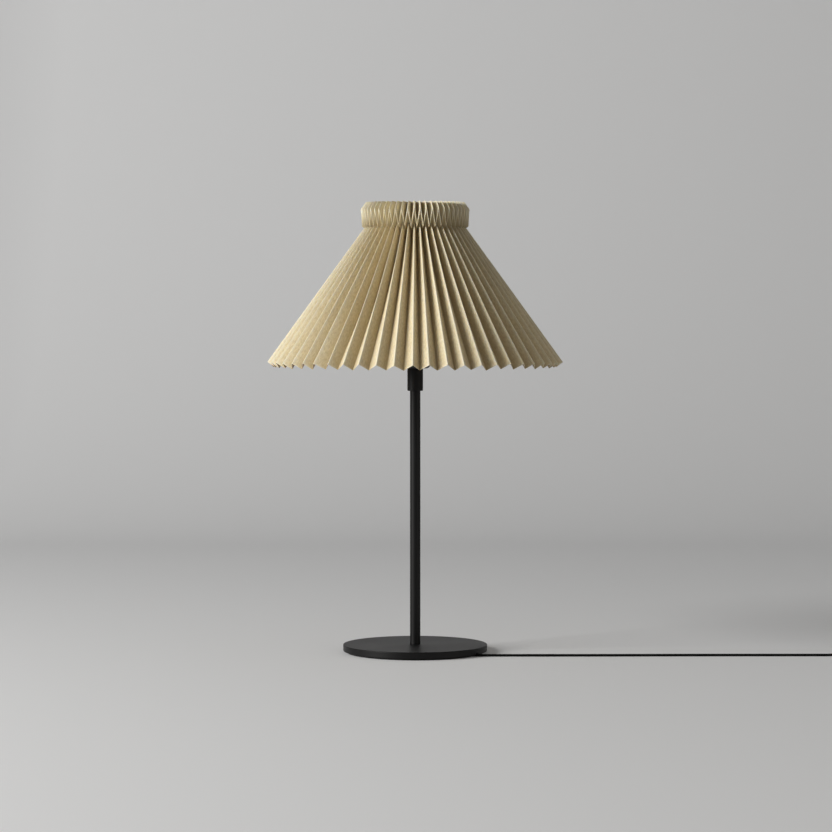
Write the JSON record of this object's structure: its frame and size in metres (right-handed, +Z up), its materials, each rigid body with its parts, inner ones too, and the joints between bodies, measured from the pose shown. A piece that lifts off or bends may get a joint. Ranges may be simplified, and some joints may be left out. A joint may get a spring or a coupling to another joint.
{
  "type": "pleated paper table lamp",
  "caption": "Table lamp with a round flat base, a thin stem and a wide pleated paper shade with a folded collar, with lead, switch and plug.",
  "frame": {"origin": "centre of the base on the surface that the lamp stands on", "axes": "+Z up along the stem, -Y to the front, the lead leaves towards +X"},
  "size_m": [0.8594, 0.3686, 0.5619],
  "materials": {
    "black_paint": "satin black powder coat",
    "foam_pad": "matt foam",
    "zinc": "zinc plated",
    "black_moulding": "moulded",
    "ceramic": "unglazed",
    "brass": "plain",
    "bright_nickel": "nickel plated",
    "black_lead": "soft sheath",
    "core_wire": "insulated",
    "opal_glass": "clear",
    "black_glass": "glossy",
    "mount_glass": "clear",
    "filament": "phosphor coat",
    "paper": "fibrous, pleated"
  },
  "bodies": {
    "lamp": {"base_plate": "black_paint", "base_pad": "foam_pad", "base_washer": "zinc", "base_nut": "zinc", "base_nipple": "zinc", "cord_clamp": "zinc", "cord_clamp_screws": "zinc", "stem_tube": "black_paint", "stem_collar": "black_paint", "collar_grub_screw": "zinc", "upper_nipple": "zinc", "stem_flex": "black_lead", "holder_cap": "black_moulding", "holder_locknut": "zinc", "holder_shell": "black_moulding", "holder_insert": "ceramic", "holder_screw_contact": "brass", "holder_centre_contact": "brass", "holder_terminal_screws": "zinc", "holder_wires": "core_wire", "shade_nut_lower": "black_moulding", "shade_nut_upper": "black_moulding", "shade_carrier": "black_paint", "cord_run": "black_lead", "cord_lead": "black_lead", "cord_coil": "black_lead", "cord_tail": "black_lead", "switch_base": "black_moulding", "switch_cover": "black_moulding", "switch_pin": "bright_nickel", "switch_contacts": "brass", "switch_screws": "zinc", "plug_body": "black_moulding", "plug_boot": "black_moulding", "plug_pins": "bright_nickel", "plug_pin_sleeves": "black_moulding"},
    "shade": {"pleated_shade": "paper"},
    "bulb": {"bulb_cap": "bright_nickel", "bulb_insulator": "black_glass", "bulb_contact": "bright_nickel", "bulb_glass": "opal_glass", "bulb_mount": "mount_glass", "bulb_filaments": "filament"},
    "rocker": {"switch_rocker": "black_moulding"}
  },
  "joints": [
    {"name": "shade_lift", "type": "slide", "parent": "lamp", "child": "shade", "axis": [0, 0, 1], "range_m": [0, 0.17]},
    {"name": "bulb_unscrew", "type": "slide", "parent": "lamp", "child": "bulb", "axis": [0, 0, 1], "range_m": [0, 0.024]},
    {"name": "rocker_tip", "type": "hinge", "parent": "lamp", "child": "rocker", "pos_m": [0.581, -0.0438, 0.0096], "axis": [0, -1, 0], "range_deg": [0, 16]}
  ]
}
